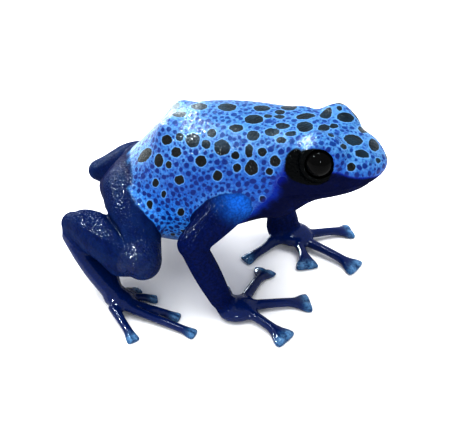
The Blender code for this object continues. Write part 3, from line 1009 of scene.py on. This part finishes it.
# Where each pattern fades in, and the least and most share that it gives
COARSE_RANGE = (0.3, 0.7)
MOTTLE_GRAIN = (0.35, 0.75)
MOTTLE_SHARE = (0.35, 0.8)
SPECK_COARSE = (0.35, 0.7)
SPECK_SIZE = (0.1, 0.3)
SPECK_EDGE = (-0.03, 0.05)
NET_EDGE = (0.02, 0.16)
NET_BACK = (0.0, 0.8)
NET_SHARE = (0.08, 0.3)
BACK_TOP = (0.7, 1.0)
# Painted sheen on the top spots comes and goes in patches over this range
SHEEN_COARSE = (0.35, 0.65)
SHEEN_SHARE = (0.4, 1.0)
NAVY_FINE = (0.3, 0.75)
SHEEN_GREY_SHARE = (0.15, 0.5)
HAND_SHARE = 0.4
ROYAL_SHARE = (0.65, 1.0)
ROYAL_GRAIN = (0.3, 0.8)
ROYAL_GRAIN_SHARE = (1.0, 0.6)
DISC_FINE = (0.35, 0.65)
DISC_BLEND = (0.25, 0.95)
PAD_FINE = (0.4, 0.6)
PAD_SHARE = (0.5, 1.0)

# Edges of the markings, and how much the patterns push them about
WOBBLE = 0.4
FINE_WOBBLE = 0.12
SPOT_EDGE = (-0.07, 0.04)
FLECK_EDGE = (-0.08, 0.06)
HALO_EDGE = (-0.22, -0.08)
HALO_SHARE = 0.6
LIMB_EDGE = (0.2, 0.8)
LIMB_RAGGED = 5.0
CHEEK_RAGGED = 0.6
VIOLET_EDGE = (0.1, 0.55)
VIOLET_SHARE = (0.0, 0.85)
CHEEK_EDGE = (0.5, 1.0)
PATCH_RAGGED = 0.2
PATCH_EDGE = (-0.15, 0.1)

# Surface: grain, and a coat of moisture that is beaded except where smooth
ROUGHNESS = (0.36, 0.5)
GRAIN_HEIGHT = -0.6
FINE_HEIGHT = 0.5
GRAIN_STRENGTH = 0.8
GRAIN_DEPTH_MM = 0.1
BEAD_STRENGTH = 1.0
BEAD_DEPTH_MM = 0.13
BEADS_SMOOTHED = 0.85
COAT_ROUGHNESS = 0.11

# Materials of the skin: name, specular level and weight of the coat
SKIN_MATERIALS = (
    ("blue skin", 0.1, 0.16),
    ("dark skin", 0.0, 0.08),
    ("moist skin", 0.0, 0.3),
    ("wet skin", 0.0, 0.6),
)
EYE_ROUGHNESS = 0.03
EYE_SPECULAR = 0.06
FLOOR_COLOUR = (0.93, 0.93, 0.93, 1.0)
FLOOR_ROUGHNESS = 0.7


class Nodes:
    """Short calls for making a material's nodes."""

    def __init__(self, name):
        self.material = bpy.data.materials.new(name)
        self.material.use_nodes = True
        self.tree = self.material.node_tree
        self.shader = self.tree.nodes["Principled BSDF"]

    def add(self, kind, **settings):
        node = self.tree.nodes.new(kind)
        for key, value in settings.items():
            setattr(node, key, value)
        return node

    def link(self, source, socket):
        if isinstance(source, bpy.types.NodeSocket):
            self.tree.links.new(source, socket)
        else:
            socket.default_value = source

    def set(self, name, source):
        """Gives the shader a plain value or the output of a node."""
        self.link(source, self.shader.inputs[name])

    def math(self, operation, a, b):
        node = self.add("ShaderNodeMath", operation=operation)
        self.link(a, node.inputs[0])
        self.link(b, node.inputs[1])
        return node.outputs[0]

    def plus(self, a, b):
        return self.math("ADD", a, b)

    def minus(self, a, b):
        return self.math("SUBTRACT", a, b)

    def times(self, a, b):
        return self.math("MULTIPLY", a, b)

    def swing(self, pattern, amount):
        """A pattern that varies about zero, by an amount."""
        return self.times(self.minus(pattern, 0.5), amount)

    def ramp(self, value, limits, ends=(0.0, 1.0)):
        """Smooth step between two ends as the value goes from limit to limit."""
        node = self.add("ShaderNodeMapRange", interpolation_type="SMOOTHSTEP")
        self.link(value, node.inputs[0])
        for index, limit in enumerate((*limits, *ends)):
            node.inputs[index + 1].default_value = limit
        return node.outputs[0]

    def mix(self, factor, a, b):
        node = self.add("ShaderNodeMix", data_type="RGBA")
        self.link(factor, node.inputs[0])
        self.link(a, node.inputs[6])
        self.link(b, node.inputs[7])
        return node.outputs[2]

    def relief(self, height, strength, depth_mm):
        node = self.add("ShaderNodeBump")
        node.inputs["Strength"].default_value = strength
        node.inputs["Distance"].default_value = depth_mm * MM
        self.link(height, node.inputs["Height"])
        return node.outputs[0]


class SkinNodes(Nodes):
    """A skin material, with the patterns that all its colours share."""

    def __init__(self, name):
        super().__init__(name)
        self.place = self.add("ShaderNodeTexCoord").outputs["Object"]
        self.grain = self.cells(GRAIN_MM)
        self.coarse = self.noise(COARSE_MM, COARSE_DETAIL)
        self.fine = self.noise(FINE_MM)
        self.back = self.number("back")

    def number(self, name):
        """A number that the skin holds at its vertices."""
        return self.add("ShaderNodeAttribute", attribute_name=name).outputs["Fac"]

    def pattern(self, kind, size_mm, **settings):
        node = self.add(kind, **settings)
        self.link(self.place, node.inputs["Vector"])
        node.inputs["Scale"].default_value = 1.0 / (size_mm * MM)
        return node

    def noise(self, size_mm, detail=2.0):
        node = self.pattern("ShaderNodeTexNoise", size_mm)
        node.inputs["Detail"].default_value = detail
        return node.outputs["Fac"]

    def cells(self, size_mm, feature="F1"):
        return self.pattern("ShaderNodeTexVoronoi", size_mm, feature=feature).outputs["Distance"]


def ground_colour(n):
    """Pale back and bright flank, with dark mottling and specks and a pale net."""
    colour = n.mix(n.back, FLANK, SKY)
    # Painted bounce light: the lower flank is painted brighter
    colour = n.mix(n.number("low"), colour, FLANK_BOUNCE_LIT)
    mottle = n.times(n.ramp(n.grain, MOTTLE_GRAIN), n.ramp(n.coarse, COARSE_RANGE, MOTTLE_SHARE))
    colour = n.mix(mottle, colour, DEEP)
    speck = n.minus(n.ramp(n.coarse, SPECK_COARSE, SPECK_SIZE), n.cells(SPECK_MM))
    colour = n.mix(n.ramp(speck, SPECK_EDGE), colour, DEEP)
    net = n.minus(1.0, n.ramp(n.cells(NET_MM, "DISTANCE_TO_EDGE"), NET_EDGE))
    return n.mix(n.times(net, n.ramp(n.back, NET_BACK, NET_SHARE)), colour, HALO)


def trunk_colour(n):
    """The ground with its flecks and black spots with pale rims, painted sheen lightening the spots
    on top, and the dark belly with painted shade underneath.
    """
    wobble = n.plus(n.swing(n.noise(WOBBLE_MM), WOBBLE), n.swing(n.fine, FINE_WOBBLE))
    spot = n.plus(n.number("spot"), wobble)
    fleck = n.plus(n.number("fleck"), wobble)
    top = n.ramp(n.back, BACK_TOP)
    # Painted sheen: on upward-facing skin the black spots are painted a lighter teal grey, in
    # patches
    painted_sheen = n.times(top, n.ramp(n.coarse, SHEEN_COARSE, SHEEN_SHARE))
    colour = n.mix(n.times(n.ramp(spot, HALO_EDGE), HALO_SHARE), ground_colour(n), HALO)
    colour = n.mix(n.ramp(fleck, FLECK_EDGE), colour, n.mix(top, FLECK, FLECK_BACK))
    colour = n.mix(n.ramp(spot, SPOT_EDGE), colour, n.mix(painted_sheen, SPOT, SPOT_SHEEN))
    # Dark belly: its own colour and painted shade on downward-facing skin
    return n.mix(n.number("belly"), colour, BELLY)


def limb_colour(n):
    """Navy, with a painted grey sheen on the thighs and shanks, lighter on hands and feet, bright
    at the shoulders.
    """
    navy = n.mix(n.ramp(n.fine, NAVY_FINE), NAVY_DARK, NAVY)
    # Painted sheen: a patchy grey over the navy of thighs and shanks
    thigh_sheen = n.times(n.number("thigh"), n.ramp(n.coarse, COARSE_RANGE, SHEEN_GREY_SHARE))
    navy = n.mix(thigh_sheen, navy, SHEEN_GREY)
    navy = n.mix(n.times(n.number("smooth"), HAND_SHARE), navy, HAND)
    royal = n.times(n.number("royal"), n.ramp(n.coarse, COARSE_RANGE, ROYAL_SHARE))
    royal = n.times(royal, n.ramp(n.grain, ROYAL_GRAIN, ROYAL_GRAIN_SHARE))
    return n.mix(royal, navy, ROYAL)


def skin_colour(n):
    """Trunk and limbs with a ragged border, then the cheek, discs and eye patch."""
    limb = n.number("limb")
    between = n.times(limb, n.minus(1.0, limb))
    limb = n.plus(limb, n.swing(n.coarse, n.times(between, LIMB_RAGGED)))
    colour = n.mix(n.ramp(limb, LIMB_EDGE), trunk_colour(n), limb_colour(n))
    cheek = n.plus(n.number("cheek"), n.swing(n.coarse, CHEEK_RAGGED))
    colour = n.mix(n.ramp(cheek, VIOLET_EDGE, VIOLET_SHARE), colour, VIOLET)
    colour = n.mix(n.ramp(cheek, CHEEK_EDGE), colour, CHEEK)
    disc = n.times(n.number("disc"), n.ramp(n.fine, DISC_FINE, DISC_BLEND))
    colour = n.mix(disc, colour, TEAL)
    pad = n.times(n.number("pad"), n.ramp(n.fine, PAD_FINE, PAD_SHARE))
    colour = n.mix(pad, colour, PAD)
    patch = n.plus(n.number("patch"), n.swing(n.fine, PATCH_RAGGED))
    return n.mix(n.ramp(patch, PATCH_EDGE), colour, PATCH)


def skin_material(name, specular, coat):
    n = SkinNodes(name)
    n.set("Base Color", skin_colour(n))
    n.set("Roughness", n.ramp(n.coarse, COARSE_RANGE, ROUGHNESS))
    n.set("Specular IOR Level", specular)
    height = n.plus(n.times(n.grain, GRAIN_HEIGHT), n.times(n.fine, FINE_HEIGHT))
    n.set("Normal", n.relief(height, GRAIN_STRENGTH, GRAIN_DEPTH_MM))
    beaded = n.minus(n.times(n.number("smooth"), BEADS_SMOOTHED), 1.0)
    beads = n.times(n.cells(BEAD_MM), beaded)
    n.set("Coat Normal", n.relief(beads, BEAD_STRENGTH, BEAD_DEPTH_MM))
    n.set("Coat Weight", coat)
    n.set("Coat Roughness", COAT_ROUGHNESS)
    return n.material


def eye_material():
    n = Nodes("frog eye")
    n.set("Base Color", EYE_BLACK)
    n.set("Roughness", EYE_ROUGHNESS)
    n.set("Specular IOR Level", EYE_SPECULAR)
    return n.material


def floor_material():
    n = Nodes("floor")
    n.set("Base Color", FLOOR_COLOUR)
    n.set("Roughness", FLOOR_ROUGHNESS)
    n.set("Specular IOR Level", 0.0)
    return n.material


# Studio, in metres. Panels: name, way to them, distance, width, height and watts
FLOOR_SIZE = 8.0
LIT_POINT = (0.0, 0.0, 0.014)
SOFT_PANELS = (
    ("overhead", (-0.15, 0.15, 1.0), 0.5, 0.7, 0.7, 3.9),
    ("fill", (-0.1, -1.0, 0.3), 0.6, 0.7, 0.4, 0.9),
)
LAMPS = (
    ("lamp", (-0.79, 0.27, 0.55), 0.30, 0.014, 0.022, 3.0),
    ("ceiling lamp", (-0.12, 0.05, 1.0), 0.35, 0.02, 0.05, 0.35),
    ("side lamp", (-0.575, -0.207, 0.794), 0.35, 0.012, 0.014, 1.2),
    ("flash", (0.3, -0.8, 0.5), 0.4, 0.012, 0.012, 0.6),
    ("back window", (-0.75, 0.6, 0.16), 0.4, 0.32, 0.08, 1.8),
)
LAMP_COLOUR = (0.86, 0.97, 1.0)
WORLD_COLOUR = (0.96, 0.98, 1.0, 1.0)
WORLD_STRENGTH = 0.65


def area_light(name, towards, distance, width, height, watts):
    data = bpy.data.lights.new(name, "AREA")
    data.shape = "RECTANGLE"
    data.size = width
    data.size_y = height
    data.energy = watts
    obj = add_object(name, data)
    way = Vector(towards).normalized()
    obj.location = Vector(LIT_POINT) + way * distance
    obj.rotation_euler = way.to_track_quat("Z", "Y").to_euler()
    return obj


def make_floor():
    bpy.ops.mesh.primitive_plane_add(size=FLOOR_SIZE)
    floor = bpy.context.object
    floor.name = "floor"
    floor.data.materials.append(floor_material())


def make_lights():
    """Soft panels that light the skin, and small lamps that only show as highlights."""
    for values in SOFT_PANELS:
        panel = area_light(*values)
        panel.visible_glossy = False
    for values in LAMPS:
        lamp = area_light(*values)
        lamp.visible_diffuse = False
        lamp.data.color = LAMP_COLOUR


def make_studio():
    make_floor()
    make_lights()
    world = bpy.data.worlds.new("studio")
    world.use_nodes = True
    inputs = world.node_tree.nodes["Background"].inputs
    inputs["Color"].default_value = WORLD_COLOUR
    inputs["Strength"].default_value = WORLD_STRENGTH
    scene = bpy.context.scene
    scene.world = world
    scene.view_settings.view_transform = "Standard"
    scene.view_settings.exposure = EXPOSURE
    scene.view_settings.gamma = GAMMA


def add_smooth(name, mesh):
    """An object of a mesh, with smooth shading."""
    mesh.polygons.foreach_set("use_smooth", [True] * len(mesh.polygons))
    return add_object(name, mesh)


def eyeball(name, side):
    """A glossy ball in place of a faceted eye, with a slight cornea."""
    bm = bmesh.new()
    bmesh.ops.create_uvsphere(bm, u_segments=EYE_SEGMENTS, v_segments=EYE_RINGS,
                              radius=EYE_RADIUS_MM)
    centre = Vector(on_head(EYE_CENTRE_MM, side))
    axis = Vector(on_head(EYE_AXIS, side) - turned((0.0, 0.0, 0.0)))
    rotation = axis.normalized().to_track_quat("Z", "Y")
    for vert in bm.verts:
        rise = max(vert.co.z / EYE_RADIUS_MM, 0.0)
        vert.co *= 1.0 + CORNEA_RISE * rise ** 3
        vert.co = (centre + rotation @ vert.co) * MM
    return mesh_of(name, bm)


def make_eyes():
    material = eye_material()
    for side, name in ((RIGHT, "right"), (LEFT, "left")):
        mesh = eyeball(f"eyeball_{name}", side)
        mesh.materials.append(material)
        eye = add_smooth(f"eyeball_{name}", mesh)
        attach(eye, "root")
        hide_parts(f"eye_{name}")


def face_materials(mesh):
    """Each face's material: 0 blue, 1 dark, 2 moist knees, 3 wet hands and feet."""
    dark = read(mesh.attributes["dark"].data, "value", 1) > 0.5
    wet = read(mesh.attributes["wet"].data, "value", 1)
    material = dark * (1 + np.rint(wet))
    first = read(mesh.polygons, "loop_start", 1, np.int32)
    corner = read(mesh.loops, "vertex_index", 1, np.int32)
    return material[corner[first]].astype(np.int32)


def sculpt(skin):
    """Adds the forms of the body, and marks the discs of the digits."""
    for add_forms in (sculpt_hips, sculpt_head, sculpt_mouth, sculpt_nostrils, sculpt_knees,
                      sculpt_lower_legs, sculpt_far_hand):
        add_forms(skin)
    disc, scutes = sculpt_digits(skin)
    skin.hold("disc", disc)
    skin.hold("pad", scutes)


def make_skin():
    flesh = [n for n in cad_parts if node_kind(n) != "eye"]
    surface = grown_skin(flesh)
    sculpt(surface)
    paint_regions(surface)
    paint_tones(surface)
    paint_gloss(surface)
    surface.move(surface.points * MM)
    mesh = surface.mesh
    mesh.name = "skin"
    mesh.materials.clear()
    for values in SKIN_MATERIALS:
        mesh.materials.append(skin_material(*values))
    mesh.polygons.foreach_set("material_index", face_materials(mesh))
    skin = add_smooth("skin", mesh)
    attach(skin, "root")
    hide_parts(*flesh)


def main():
    make_camera()
    make_studio()
    make_skin()
    make_eyes()


main()
